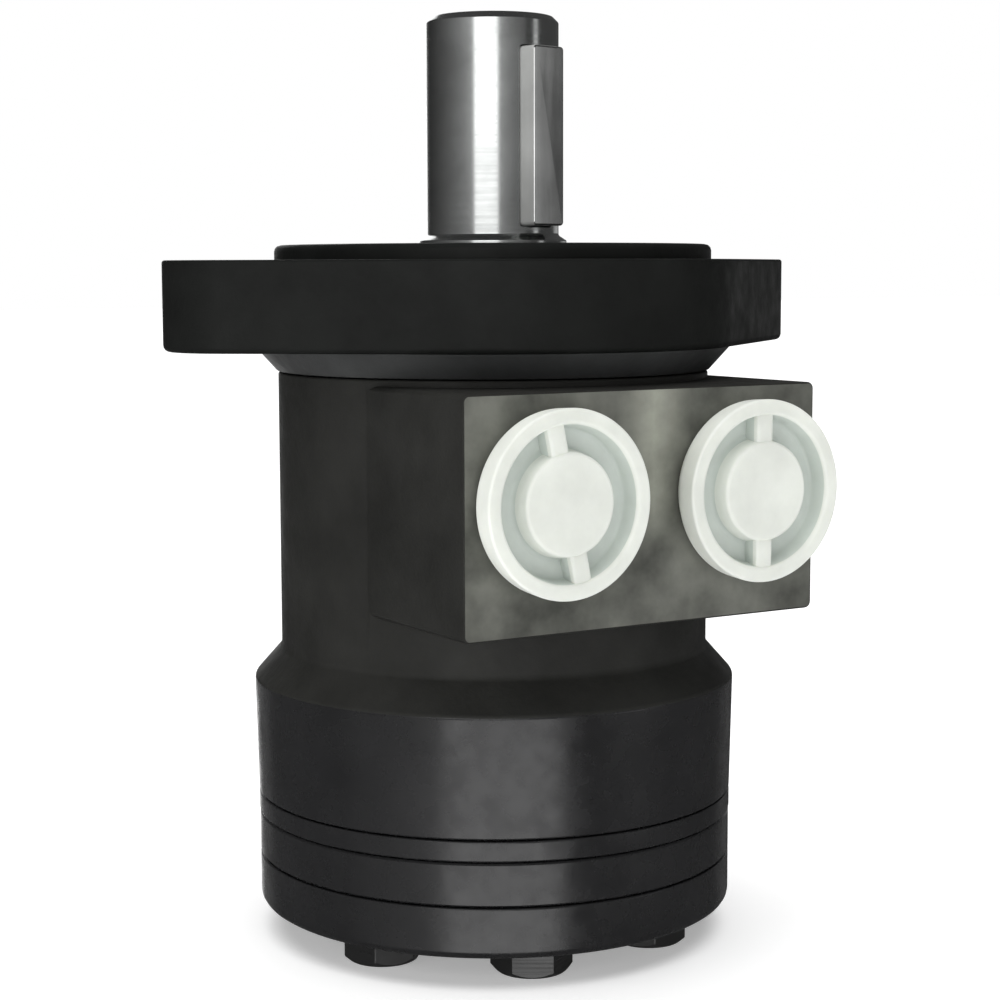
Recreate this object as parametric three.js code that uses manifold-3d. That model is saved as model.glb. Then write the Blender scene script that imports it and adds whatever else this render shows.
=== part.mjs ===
// Orbital (gerotor) hydraulic motor with an oval two-bolt flange and two side ports.
// Millimetres, +Z up along the shaft, origin at the centre of the end cover's rear face.
// The ports face -Y and the flange's long axis runs along X.

import * as THREE from 'three';
import { mergeVertices } from 'three/addons/utils/BufferGeometryUtils.js';
import Module from 'manifold-3d';

const wasm = await Module();
wasm.setup();

// --- stack of layers along Z ---
const GAP = 0.25; // joint between two faces that touch
const COVER_TOP = 9.3;
const RING_BOTTOM = COVER_TOP + GAP;
const RING_TOP = 17.35;
const SPACER_BOTTOM = RING_TOP + GAP;
const SPACER_TOP = 21.3;
const HOUSING_BOTTOM = SPACER_TOP + GAP;
const HOUSING_TOP = 101.15;
const FLANGE_BOTTOM = HOUSING_TOP + GAP;
const PLATE_BOTTOM = 105.9;
const PLATE_TOP = 122.0;
const PILOT_TOP = 124.8;
const SHAFT_END = 167.1;

// --- round sizes (radii) ---
const GEROTOR_R = 45.3;
const SPACER_R = 45.4;
const REAR_FLANGE_R = 45.9;
const REAR_FLANGE_DRAFT = 0.5;
const REAR_FLANGE_TOP = 43.5;
const BODY_R = 40.75;
const BODY_CONE_TOP = 49.0;
const PILOT_R = 41.25;
const PILOT_CHAMFER = 1.0;
const SHAFT_R = 12.5;
const KEY_ANGLE = THREE.MathUtils.degToRad(-79);
const SEAL_LAND_R = 14.0;

// --- two-bolt mounting plate ---
const LUG_X = 53.2;
const LUG_R = 13.0;
const PLATE_R = 46.5;
const FLANGE_HOLE_R = 6.75;

// --- port boss and ports ---
const BOSS_HALF_W = 36.6;
const BOSS_FACE_Y = -50.6;
const BOSS_BOTTOM = 59.0;
const BOSS_TOP = 100.0;
const PORT_X = 20.3;
const PORT_Z = 81.8;
const PORT_BORE_R = 9.4;
const PORT_BORE_DEPTH = 16.0;
const PLUG_HEAD_R = 16.0;
const PLUG_BASE_R = 13.8;
const PLUG_HEAD_H = 7.2;
const PLUG_STEM_R = 9.1;
const PLUG_STEM_LENGTH = 11.0;

// --- rear bolts and gerotor set ---
const LOBES = 7;
const BOLT_CIRCLE_R = 32.3;
const BOLT_PHASE = THREE.MathUtils.degToRad(-109.5);
const BOLT_R = 4.0;
const BOLT_HOLE_R = 4.3;
const BOLT_HEAD_AF = 13.0;
const BOLT_HEAD_H = 5.8;
const BOLT_END = 43.0;
const LOBE_R = 8.0;
const ECCENTRICITY = 3.0;
const ROTOR_CLEARANCE = 0.2;
const RING_POCKET_R = 31.5;
const STAR_POINTS = 132;
const STAR_CROWDING = 0.75; // crowds the star's points into its tightly curved valleys

// --- valve spool turned on the inner end of the shaft ---
const SPOOL_R = 17.0;
const SPOOL_BORE_R = 17.2;
const SPOOL_BOTTOM = 47.0;
const SPOOL_TOP = 96.0;
const UPPER_GROOVE = [84, 90];
const LOWER_GROOVE = [62, 68];
const WINDOW_SPAN = [73, 79];
const PASSAGE_R = 25.0;

// --- splined drive link ---
const SPLINE_TEETH = 12;
const SPLINE_ROOT_R = 12.6;
const SPLINE_TIP_R = 10.9;
const SPLINE_CLEARANCE = 0.55;
const APEX_Z = 67.0;
const ROTOR_MID_Z = (RING_BOTTOM + RING_TOP) / 2;
const LINK_TILT = Math.atan(ECCENTRICITY / (APEX_Z - ROTOR_MID_Z));

// --- flange screws, seals and thrust bearing ---
const SCREW_CIRCLE_R = 33.0;
const SCREW_ANGLES = [30, 150, 210, 330].map(THREE.MathUtils.degToRad);
const SCREW_SEAT_Z = 115.5;
const SCREW_END = 86.0;
const BEARING_OUTER_R = 22.5;
const SEAL_POCKET_R = 21.0;
const O_RING_R = 0.8;

const UP = new THREE.Vector3(0, 0, 1);
const STAR_CENTRE = polar(ECCENTRICITY, BOLT_PHASE);

// --- materials ---
const paint = (color, roughness, metalness) =>
  new THREE.MeshStandardMaterial({ color, roughness, metalness });
const BLACK_CASTING = paint(0x2b2c2b, 0.5, 0.3);
const DARK_FLANGE = paint(0x232524, 0.45, 0.3);
const DARK_STEEL = paint(0x3c3d3e, 0.4, 0.7);
const BLACK_OXIDE = paint(0x252525, 0.45, 0.6);
const GROUND_STEEL = paint(0xb4b6b5, 0.2, 1.0);
const BEARING_STEEL = paint(0x9b9d9f, 0.25, 1.0);
const WHITE_PLASTIC = paint(0xdfe6df, 0.4, 0.0);
const SEAL_RUBBER = paint(0x141414, 0.7, 0.0);
const COPPER = paint(0xb06a42, 0.35, 1.0);

// --- helpers ---
function polar(radius, angle, z = 0) {
  return new THREE.Vector3(radius * Math.cos(angle), radius * Math.sin(angle), z);
}

// Closed three.js geometry to a solid, dropping the zero-area triangles at a lathe's poles.
function solid(geometry) {
  const bare = geometry.clone();
  bare.deleteAttribute('normal');
  bare.deleteAttribute('uv');
  const welded = mergeVertices(bare, 1e-4);
  const corners = welded.index.array;
  const triangles = [];
  for (let i = 0; i < corners.length; i += 3) {
    const [a, b, c] = corners.slice(i, i + 3);
    if (a !== b && b !== c && c !== a) {
      triangles.push(a, b, c);
    }
  }
  return new wasm.Manifold(new wasm.Mesh({
    numProp: 3,
    vertProperties: new Float32Array(welded.attributes.position.array),
    triVerts: new Uint32Array(triangles),
  }));
}

// Profile of [radius, z] points: up the outside, then back down the inside if it is hollow.
function turned(profile, segments = 40) {
  const points = profile.map(([radius, z]) => new THREE.Vector2(radius, z));
  return solid(new THREE.LatheGeometry(points, segments).rotateX(Math.PI / 2));
}

function disc(radius, z0, z1, segments = 32) {
  return turned([[0, z0], [radius, z0], [radius, z1], [0, z1]], segments);
}

function ring(inner, outer, z0, z1, segments = 32) {
  return turned([[inner, z0], [outer, z0], [outer, z1], [inner, z1], [inner, z0]], segments);
}

function torus(radius, tube, z, segments = 28) {
  const shape = new THREE.TorusGeometry(radius, tube, 6, segments);
  return solid(shape.translate(0, 0, z));
}

// Round bar between two points.
function rod(radius, from, to, segments = 20) {
  const along = to.clone().sub(from);
  const bar = new THREE.CylinderGeometry(radius, radius, along.length(), segments);
  const turn = new THREE.Quaternion().setFromUnitVectors(
    new THREE.Vector3(0, 1, 0),
    along.clone().normalize(),
  );
  const middle = from.clone().add(to).multiplyScalar(0.5);
  return solid(bar.applyQuaternion(turn).translate(middle.x, middle.y, middle.z));
}

function pin(radius, x, y, z0, z1, segments = 20) {
  return rod(radius, new THREE.Vector3(x, y, z0), new THREE.Vector3(x, y, z1), segments);
}

function block([x0, x1], [y0, y1], [z0, z1]) {
  const box = new THREE.BoxGeometry(x1 - x0, y1 - y0, z1 - z0);
  return solid(box.translate((x0 + x1) / 2, (y0 + y1) / 2, (z0 + z1) / 2));
}

function slab(outline, z0, z1, curveSegments = 14) {
  const options = { depth: z1 - z0, bevelEnabled: false, curveSegments };
  return solid(new THREE.ExtrudeGeometry(outline, options).translate(0, 0, z0));
}

function turnedAbout(body, angle) {
  return body.rotate([0, 0, THREE.MathUtils.radToDeg(angle)]);
}

function unite(bodies) {
  return bodies.reduce((sum, body) => sum.add(body));
}

function cut(body, cutters) {
  return cutters.reduce((rest, cutter) => rest.subtract(cutter), body);
}

function lobeAngle(i) {
  return BOLT_PHASE + (i * 2 * Math.PI) / LOBES;
}

function pocketAngle(i) {
  return lobeAngle(i + 0.5);
}

function range(count) {
  return Array.from({ length: count }, (_, i) => i);
}

function mesh(name, body, material) {
  const { vertProperties, triVerts } = body.getMesh();
  const geometry = new THREE.BufferGeometry();
  geometry.setAttribute('position', new THREE.BufferAttribute(vertProperties, 3));
  geometry.setIndex(new THREE.BufferAttribute(triVerts, 1));
  geometry.computeVertexNormals();
  const result = new THREE.Mesh(geometry, material);
  result.name = name;
  return result;
}

function hexPrism(acrossFlats, z0, z1) {
  return disc(acrossFlats / Math.sqrt(3), z0, z1, 6);
}

function boltHoles(z0, z1) {
  return range(LOBES).map((i) => {
    const at = polar(BOLT_CIRCLE_R, lobeAngle(i));
    return pin(BOLT_HOLE_R, at.x, at.y, z0, z1, 12);
  });
}

// --- mounting flange ---
// Oval outline: a central arc joined to two lug ends by straight tangents.
function plateOutline() {
  const slope = Math.acos((PLATE_R - LUG_R) / LUG_X);
  const shape = new THREE.Shape();
  shape.absarc(LUG_X, 0, LUG_R, -slope, slope, false);
  shape.absarc(0, 0, PLATE_R, slope, Math.PI - slope, false);
  shape.absarc(-LUG_X, 0, LUG_R, Math.PI - slope, Math.PI + slope, false);
  shape.absarc(0, 0, PLATE_R, Math.PI + slope, 2 * Math.PI - slope, false);
  shape.closePath();
  return shape;
}

function mountingFlange() {
  const plate = slab(plateOutline(), PLATE_BOTTOM, PLATE_TOP);
  const pilot = turned([
    [0, PLATE_TOP - 1], [PILOT_R, PLATE_TOP - 1], [PILOT_R, PILOT_TOP - PILOT_CHAMFER],
    [PILOT_R - PILOT_CHAMFER, PILOT_TOP], [0, PILOT_TOP],
  ]);
  const hub = turned([
    [0, FLANGE_BOTTOM], [BODY_R + 0.2, FLANGE_BOTTOM], [PLATE_R - 1.6, PLATE_BOTTOM],
    [PLATE_R - 1.6, PLATE_BOTTOM + 1], [0, PLATE_BOTTOM + 1],
  ]);
  const screwHoles = SCREW_ANGLES.flatMap((angle) => {
    const { x, y } = polar(SCREW_CIRCLE_R, angle);
    return [
      pin(3.3, x, y, FLANGE_BOTTOM - 1, PILOT_TOP + 1, 12),
      pin(5.5, x, y, SCREW_SEAT_Z, PILOT_TOP + 1, 16),
    ];
  });
  return cut(unite([plate, pilot, hub]), [
    pin(FLANGE_HOLE_R, LUG_X, 0, PLATE_BOTTOM - 1, PLATE_TOP + 1, 24),
    pin(FLANGE_HOLE_R, -LUG_X, 0, PLATE_BOTTOM - 1, PLATE_TOP + 1, 24),
    disc(SEAL_LAND_R + 0.6, FLANGE_BOTTOM - 1, PILOT_TOP + 1),
    disc(SEAL_POCKET_R, FLANGE_BOTTOM - 1, 112),
    disc(19, 116.5, PILOT_TOP + 1),
    ring(25.2, 28.2, FLANGE_BOTTOM - 1, FLANGE_BOTTOM + 1.9),
    ...screwHoles,
  ]);
}

function flangeScrew(angle) {
  const { x, y } = polar(SCREW_CIRCLE_R, angle);
  const seat = SCREW_SEAT_Z + GAP;
  const body = turned([
    [0, SCREW_END], [2.4, SCREW_END], [3, SCREW_END + 0.6], [3, seat], [5, seat],
    [5, seat + 5.6], [4.6, seat + 6], [0, seat + 6],
  ], 12);
  return body.subtract(hexPrism(5, seat + 3, seat + 7)).translate([x, y, 0]);
}

// --- seals in the flange ---
function dustSeal() {
  return turned([
    [16.2, 117], [18.7, 117], [18.7, 123.6], [17.2, 123.6], [16.4, 121],
    [14.3, 124.2], [14.3, 122.6], [16.2, 119.4], [16.2, 117],
  ], 28);
}

function shaftSeal() {
  return turned([
    [14.9, 104.9], [20.7, 104.9], [20.7, 111.6], [15.6, 111.6], [15.6, 109.4],
    [18.6, 109.4], [18.6, 107], [15.4, 107], [14.3, 106.2], [14.3, 105.6], [14.9, 104.9],
  ], 28);
}

function sealBackupRing() {
  return ring(14.6, 20.6, 102, 104.6);
}

// --- shaft, key and valve spool ---
// Straight-sided spline; a clearance shrinks it on every side for the part that goes inside.
function splineShape(clearance = 0) {
  const pitch = (2 * Math.PI) / SPLINE_TEETH;
  const side = clearance / SPLINE_TIP_R / pitch;
  const tip = SPLINE_TIP_R - clearance;
  const root = SPLINE_ROOT_R - clearance;
  const points = range(SPLINE_TEETH).flatMap((i) => {
    const corners = [
      [tip, -0.5], [tip, side - 0.2], [root, side - 0.12],
      [root, 0.12 - side], [tip, 0.2 - side],
    ];
    return corners.map(([radius, share]) => polar(radius, (i + share) * pitch));
  });
  return new THREE.Shape(points.map(({ x, y }) => new THREE.Vector2(x, y)));
}

function spoolSlots() {
  const slot = (angle, z0, z1) =>
    turnedAbout(block([15.6, SPOOL_R + 1], [-1.8, 1.8], [z0, z1]), angle);
  return range(6).flatMap((i) => [
    slot((i * Math.PI) / 3, WINDOW_SPAN[0], UPPER_GROOVE[0] + 1),
    slot(((i + 0.5) * Math.PI) / 3, LOWER_GROOVE[1] - 1, WINDOW_SPAN[1]),
  ]);
}

function outputShaft() {
  const body = turned([
    [0, SPOOL_BOTTOM], [SPOOL_R - 0.6, SPOOL_BOTTOM], [SPOOL_R, SPOOL_BOTTOM + 0.6],
    [SPOOL_R, LOWER_GROOVE[0]], [15.6, LOWER_GROOVE[0]], [15.6, LOWER_GROOVE[1]],
    [SPOOL_R, LOWER_GROOVE[1]], [SPOOL_R, UPPER_GROOVE[0]], [15.6, UPPER_GROOVE[0]],
    [15.6, UPPER_GROOVE[1]], [SPOOL_R, UPPER_GROOVE[1]], [SPOOL_R, SPOOL_TOP],
    [SEAL_LAND_R, SPOOL_TOP], [SEAL_LAND_R, 125.6], [SHAFT_R, 126.4],
    [SHAFT_R, SHAFT_END - 1.2], [SHAFT_R - 1.2, SHAFT_END], [0, SHAFT_END],
  ], 32);
  const keyway = turnedAbout(block([8.5, 20], [-4.05, 4.05], [127.9, 161.1]), KEY_ANGLE);
  return cut(body, [
    disc(13.4, SPOOL_BOTTOM - 1, APEX_Z - 6.5),
    slab(splineShape(), APEX_Z - 7, APEX_Z + 7),
    disc(12.8, APEX_Z + 6.5, 78),
    pin(2.5, 0, 0, SHAFT_END - 14, SHAFT_END + 1, 12),
    turned([[0, SHAFT_END - 2.4], [4.2, SHAFT_END + 1], [0, SHAFT_END + 1]], 12),
    keyway,
    ...spoolSlots(),
  ]);
}

function shaftKey() {
  return turnedAbout(block([8.75, 15.5], [-3.8, 3.8], [128.2, 160.8]), KEY_ANGLE);
}

// --- thrust bearing between the spool's shoulder and the flange ---
function thrustRace(z0, z1) {
  return ring(SEAL_LAND_R + 0.5, BEARING_OUTER_R, z0, z1);
}

function needleBearing() {
  const cage = ring(SEAL_LAND_R + 0.8, BEARING_OUTER_R - 0.3, 98.35, 99.35);
  const needle = rod(0.85, new THREE.Vector3(15.9, 0, 98.85), new THREE.Vector3(21.2, 0, 98.85), 6);
  return unite([cage, ...range(12).map((i) => turnedAbout(needle, (i * Math.PI) / 6))]);
}

// --- housing ---
function housingBlank() {
  const round = turned([
    [0, HOUSING_BOTTOM], [REAR_FLANGE_R - REAR_FLANGE_DRAFT - 0.4, HOUSING_BOTTOM],
    [REAR_FLANGE_R - REAR_FLANGE_DRAFT, HOUSING_BOTTOM + 0.4], [REAR_FLANGE_R, REAR_FLANGE_TOP - 1],
    [REAR_FLANGE_R - 1, REAR_FLANGE_TOP], [BODY_R + 0.5, BODY_CONE_TOP - 1],
    [BODY_R, BODY_CONE_TOP], [BODY_R, HOUSING_TOP], [0, HOUSING_TOP],
  ]);
  const boss = block([-BOSS_HALF_W, BOSS_HALF_W], [BOSS_FACE_Y, -10], [BOSS_BOTTOM, BOSS_TOP]);
  return round.add(boss);
}

function portBore(side) {
  const x = side * PORT_X;
  const at = (y) => new THREE.Vector3(x, y, PORT_Z);
  const grooveZ = side < 0 ? (UPPER_GROOVE[0] + UPPER_GROOVE[1]) / 2 : LOWER_GROOVE[0] + 3;
  const floorY = BOSS_FACE_Y + PORT_BORE_DEPTH;
  const start = new THREE.Vector3(side * 19, floorY - 2, side < 0 ? PORT_Z : PORT_Z - 3);
  return [
    rod(PORT_BORE_R, at(BOSS_FACE_Y - 1), at(floorY), 24),
    rod(3.5, start, new THREE.Vector3(side * 11.5, -15.5, grooveZ), 10),
  ];
}

// Seven windows in the bore, each joined to a drilling that runs back to the gerotor set.
function windowPassages() {
  return range(LOBES).flatMap((i) => {
    const { x, y } = polar(PASSAGE_R, pocketAngle(i));
    const slot = block([SPOOL_BORE_R - 2, PASSAGE_R], [-2.3, 2.3], WINDOW_SPAN);
    return [
      pin(2.4, x, y, HOUSING_BOTTOM - 1, WINDOW_SPAN[1], 8),
      turnedAbout(slot, pocketAngle(i)),
    ];
  });
}

function drainDrilling() {
  const along = (radius, y0, y1, segments) =>
    rod(radius, new THREE.Vector3(0, y0, 58), new THREE.Vector3(0, y1, 58), segments);
  return [
    along(10, 39.8, 50, 24),
    along(6.6, 29, 50, 16),
    rod(2.5, new THREE.Vector3(0, 32, 57), new THREE.Vector3(0, 15, 42), 8),
  ];
}

function housing() {
  const screwHoles = SCREW_ANGLES.map((angle) => {
    const { x, y } = polar(SCREW_CIRCLE_R, angle);
    return pin(3.2, x, y, SCREW_END - 2, HOUSING_TOP + 1, 12);
  });
  return cut(housingBlank(), [
    disc(SPOOL_BORE_R, HOUSING_BOTTOM - 1, HOUSING_TOP + 1),
    disc(BEARING_OUTER_R + 0.5, SPOOL_TOP, HOUSING_TOP + 1),
    disc(20.5, ...UPPER_GROOVE),
    disc(20.5, ...LOWER_GROOVE),
    ring(39.5, 42.5, HOUSING_BOTTOM - 1, HOUSING_BOTTOM + 1.9),
    ...boltHoles(HOUSING_BOTTOM - 1, BOLT_END + 2),
    ...screwHoles,
    ...portBore(-1),
    ...portBore(1),
    ...windowPassages(),
    ...drainDrilling(),
  ]);
}

// Hexagon-socket plug along +Y in the drain port, with a sealing washer under its head.
function drainPlug() {
  const body = turned([
    [0, 0], [5.6, 0], [6.3, 0.7], [6.3, 11.2], [8.8, 11.2], [8.8, 14.6], [8.2, 15.2], [0, 15.2],
  ], 24);
  return body.subtract(hexPrism(6, 8, 16)).rotate([-90, 0, 0]).translate([0, 30.4, 58]);
}

function drainWasher() {
  return ring(6.9, 9.2, 0, 1.2, 24).rotate([-90, 0, 0]).translate([0, 40.1, 58]);
}

// Transport plug: hollow stem, dished head with a centre boss held by two ribs.
function portPlug(side) {
  const h = PLUG_HEAD_H;
  const body = turned([
    [0, -2.5], [7.2, -2.5], [7.4, -PLUG_STEM_LENGTH], [8.6, -PLUG_STEM_LENGTH],
    [PLUG_STEM_R, -PLUG_STEM_LENGTH + 0.8], [PLUG_STEM_R, 0], [PLUG_BASE_R, 0],
    [PLUG_HEAD_R - 0.4, 2.6], [PLUG_HEAD_R, h - 1], [PLUG_HEAD_R - 0.9, h],
    [PLUG_HEAD_R - 2, h - 0.2], [PLUG_HEAD_R - 3, h - 3.4], [9.4, h - 3.6],
    [8.8, h - 0.6], [8, h], [0, h],
  ], 24);
  const ribs = block([-1.4, 1.4], [8.4, PLUG_HEAD_R - 1.6], [h - 4, h - 0.9]);
  const whole = unite([body, ribs, ribs.rotate([0, 0, 180])]);
  const lean = side < 0 ? 12 : 0;
  const standing = whole.rotate([0, 0, lean]).rotate([90, 0, 0]);
  return standing.translate([side * PORT_X, BOSS_FACE_Y - GAP, PORT_Z]);
}

// --- rear section: spacer plate, gerotor ring and star, end cover ---
function spacerPlate() {
  const slots = range(LOBES).flatMap((i) => {
    const inner = polar(PASSAGE_R - 0.5, pocketAngle(i));
    const outer = polar(28.5, pocketAngle(i));
    const web = block([PASSAGE_R - 0.5, 28.5], [-2.6, 2.6], [SPACER_BOTTOM - 1, SPACER_TOP + 1]);
    return [
      pin(2.6, inner.x, inner.y, SPACER_BOTTOM - 1, SPACER_TOP + 1, 8),
      pin(2.6, outer.x, outer.y, SPACER_BOTTOM - 1, SPACER_TOP + 1, 8),
      turnedAbout(web, pocketAngle(i)),
    ];
  });
  return cut(ring(15.5, SPACER_R, SPACER_BOTTOM, SPACER_TOP, 40), [
    ...slots,
    ...boltHoles(SPACER_BOTTOM - 1, SPACER_TOP + 1),
  ]);
}

function gerotorRing() {
  const blank = ring(RING_POCKET_R, GEROTOR_R, RING_BOTTOM, RING_TOP, 40);
  const lobes = range(LOBES).map((i) => {
    const { x, y } = polar(BOLT_CIRCLE_R, lobeAngle(i));
    return pin(LOBE_R, x, y, RING_BOTTOM, RING_TOP, 24);
  });
  return cut(unite([blank, ...lobes]), [
    ring(38.9, 41.9, RING_TOP - 1.9, RING_TOP + 1),
    ...boltHoles(RING_BOTTOM - 1, RING_TOP + 1),
  ]);
}

// Six-lobed star: the inward offset of the path the ring's lobe centres trace in its frame.
function starOutline() {
  const points = range(STAR_POINTS).map((i) => {
    const step = (i * 2 * Math.PI) / STAR_POINTS;
    const t = step - (STAR_CROWDING * Math.sin(6 * step)) / 6;
    const centre = polar(BOLT_CIRCLE_R, t).sub(polar(ECCENTRICITY, LOBES * t));
    const tangent = polar(BOLT_CIRCLE_R, t + Math.PI / 2);
    tangent.sub(polar(ECCENTRICITY * LOBES, LOBES * t + Math.PI / 2)).normalize();
    const inward = new THREE.Vector3(-tangent.y, tangent.x, 0);
    const point = centre.addScaledVector(inward, LOBE_R + ROTOR_CLEARANCE);
    return point.applyAxisAngle(UP, BOLT_PHASE);
  });
  return new THREE.Shape(points.map(({ x, y }) => new THREE.Vector2(x, y)));
}

function gerotorStar() {
  const star = slab(starOutline(), RING_BOTTOM + 0.1, RING_TOP - 0.1);
  const bored = star.subtract(slab(splineShape(), RING_BOTTOM - 1, RING_TOP + 1));
  return bored.translate([STAR_CENTRE.x, STAR_CENTRE.y, 0]);
}

// Splined dog-bone, modelled upright about its upper pivot, then leaned to the star's centre.
function driveLink() {
  const foot = (APEX_Z - (RING_BOTTOM + 2.1)) / Math.cos(LINK_TILT);
  const blank = turned([
    [0, -foot], [9.2, -foot], [12.1, -foot + 1.6], [12.1, -foot + 5.6], [8.4, -foot + 9.6],
    [8.4, -9.6], [12.1, -5.8], [12.1, 5.2], [10.6, 6.2], [0, 6.2],
  ], 24);
  const teeth = slab(splineShape(SPLINE_CLEARANCE), -foot - 1, 8);
  const upright = blank.intersect(teeth);
  const towards = THREE.MathUtils.radToDeg(BOLT_PHASE);
  const leaned = upright.rotate([0, 0, -towards])
    .rotate([0, -THREE.MathUtils.radToDeg(LINK_TILT), 0])
    .rotate([0, 0, towards]);
  return leaned.translate([0, 0, APEX_Z]);
}

function driveSpacer() {
  const z0 = RING_BOTTOM + 0.05;
  const body = turned([[0, z0], [8, z0], [8, z0 + 0.7], [7.5, z0 + 1.1], [0, z0 + 1.1]], 20);
  return body.translate([STAR_CENTRE.x, STAR_CENTRE.y, 0]);
}

function endCover() {
  const body = turned([
    [0, 0], [GEROTOR_R - 1.2, 0], [GEROTOR_R, 1.2], [GEROTOR_R, COVER_TOP - 0.3],
    [GEROTOR_R - 0.3, COVER_TOP], [0, COVER_TOP],
  ]);
  return cut(body, [
    ring(38.9, 41.9, COVER_TOP - 1.9, COVER_TOP + 1),
    ...boltHoles(-1, COVER_TOP + 1),
  ]);
}

function coverBolt(i) {
  const { x, y } = polar(BOLT_CIRCLE_R, lobeAngle(i));
  const crown = turned([
    [0, -BOLT_HEAD_H], [6.2, -BOLT_HEAD_H], [7.6, -BOLT_HEAD_H + 0.9], [7.6, -GAP], [0, -GAP],
  ], 18);
  const head = hexPrism(BOLT_HEAD_AF, -BOLT_HEAD_H, -GAP).intersect(crown);
  const shank = turned([
    [0, -1], [BOLT_R, -1], [BOLT_R, BOLT_END - 0.8], [BOLT_R - 0.8, BOLT_END], [0, BOLT_END],
  ], 12);
  return head.add(shank).translate([x, y, 0]);
}

// --- assembly ---
const motor = new THREE.Group();
motor.add(
  mesh('mounting_flange', mountingFlange(), DARK_FLANGE),
  mesh('dust_seal', dustSeal(), SEAL_RUBBER),
  mesh('shaft_seal', shaftSeal(), SEAL_RUBBER),
  mesh('seal_backup_ring', sealBackupRing(), WHITE_PLASTIC),
  mesh('flange_o_ring', torus(26.7, O_RING_R, FLANGE_BOTTOM + 0.95), SEAL_RUBBER),
  mesh('output_shaft', outputShaft(), GROUND_STEEL),
  mesh('shaft_key', shaftKey(), GROUND_STEEL),
  mesh('thrust_race_lower', thrustRace(96.3, 97.6), BEARING_STEEL),
  mesh('thrust_needle_bearing', needleBearing(), BEARING_STEEL),
  mesh('thrust_race_upper', thrustRace(100.05, 101.1), BEARING_STEEL),
  mesh('housing', housing(), BLACK_CASTING),
  mesh('drain_plug', drainPlug(), BLACK_OXIDE),
  mesh('drain_washer', drainWasher(), COPPER),
  mesh('port_plug_a', portPlug(-1), WHITE_PLASTIC),
  mesh('port_plug_b', portPlug(1), WHITE_PLASTIC),
  mesh('housing_o_ring', torus(41, O_RING_R, HOUSING_BOTTOM + 0.95), SEAL_RUBBER),
  mesh('spacer_plate', spacerPlate(), DARK_STEEL),
  mesh('ring_o_ring', torus(40.4, O_RING_R, RING_TOP - 0.95), SEAL_RUBBER),
  mesh('gerotor_ring', gerotorRing(), DARK_STEEL),
  mesh('gerotor_star', gerotorStar(), BEARING_STEEL),
  mesh('drive_link', driveLink(), BEARING_STEEL),
  mesh('drive_spacer', driveSpacer(), BEARING_STEEL),
  mesh('cover_o_ring', torus(40.4, O_RING_R, COVER_TOP - 0.95), SEAL_RUBBER),
  mesh('end_cover', endCover(), DARK_STEEL),
);
SCREW_ANGLES.forEach((angle, i) => {
  motor.add(mesh(`flange_screw_${i + 1}`, flangeScrew(angle), BLACK_OXIDE));
});
range(LOBES).forEach((i) => {
  motor.add(mesh(`cover_bolt_${i + 1}`, coverBolt(i), BLACK_OXIDE));
});

export default motor;
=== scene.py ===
"""Orbital hydraulic motor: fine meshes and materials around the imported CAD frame.

Shapes are written in millimetres and placed in the CAD frame: +Z along the shaft, ports on -Y.
"""
import math

import bpy
from mathutils import Matrix, Vector


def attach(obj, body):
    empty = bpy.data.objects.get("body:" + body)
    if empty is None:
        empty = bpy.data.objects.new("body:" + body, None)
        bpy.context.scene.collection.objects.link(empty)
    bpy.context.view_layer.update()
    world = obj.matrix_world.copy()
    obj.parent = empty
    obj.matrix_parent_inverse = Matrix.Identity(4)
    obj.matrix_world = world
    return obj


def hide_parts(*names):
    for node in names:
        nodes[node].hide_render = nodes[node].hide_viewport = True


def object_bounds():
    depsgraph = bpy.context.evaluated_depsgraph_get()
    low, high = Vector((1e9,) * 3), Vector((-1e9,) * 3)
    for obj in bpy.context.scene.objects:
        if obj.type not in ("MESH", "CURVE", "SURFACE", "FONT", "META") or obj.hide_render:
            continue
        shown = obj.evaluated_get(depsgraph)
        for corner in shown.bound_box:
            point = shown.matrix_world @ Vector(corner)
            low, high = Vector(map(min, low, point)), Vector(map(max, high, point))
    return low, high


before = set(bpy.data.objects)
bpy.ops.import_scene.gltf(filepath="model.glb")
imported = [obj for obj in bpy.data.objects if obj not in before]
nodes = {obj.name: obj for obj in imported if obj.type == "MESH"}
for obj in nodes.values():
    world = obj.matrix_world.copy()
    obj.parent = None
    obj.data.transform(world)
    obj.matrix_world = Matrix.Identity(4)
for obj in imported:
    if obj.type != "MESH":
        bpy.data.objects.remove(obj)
cad_low, cad_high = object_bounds()

MM = 0.001
SEGMENTS = 144
TAU = 2 * math.pi

# stack of layers
COVER_TOP = 9.3
RING_BOTTOM = 9.55
RING_TOP = 17.35
SPACER_BOTTOM = 17.6
SPACER_TOP = 21.3
HOUSING_BOTTOM = 21.55
HOUSING_TOP = 101.15
FLANGE_BOTTOM = 101.4
PLATE_BOTTOM = 105.9
PLATE_TOP = 122.0
PILOT_TOP = 124.8
SHAFT_END = 167.1

# radii and the mounting plate
GEROTOR_R = 45.3
SPACER_R = 45.4
REAR_FLANGE_R = 45.9
REAR_FLANGE_DRAFT = 0.5
TURNED_TOP = 43.2
BODY_R = 40.75
PILOT_R = 41.25
SHAFT_R = 12.5
SEAL_LAND_R = 14.0
LUG_X = 53.2
LUG_R = 13.0
PLATE_R = 46.5
FLANGE_HOLE_R = 6.75

# ports
BOSS_HALF_W = 36.6
BOSS_FACE_Y = -50.6
BOSS_BOTTOM = 59.0
BOSS_TOP = 100.0
PORT_X = 20.3
PORT_Z = 81.8
PORT_BORE_R = 9.4
PLUG_HEAD_R = 16.0
PLUG_BASE_R = 13.8
PLUG_HEAD_H = 7.2
PLUG_STEM_R = 9.1
PLUG_STEM_LENGTH = 11.0
GAP = 0.25

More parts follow.
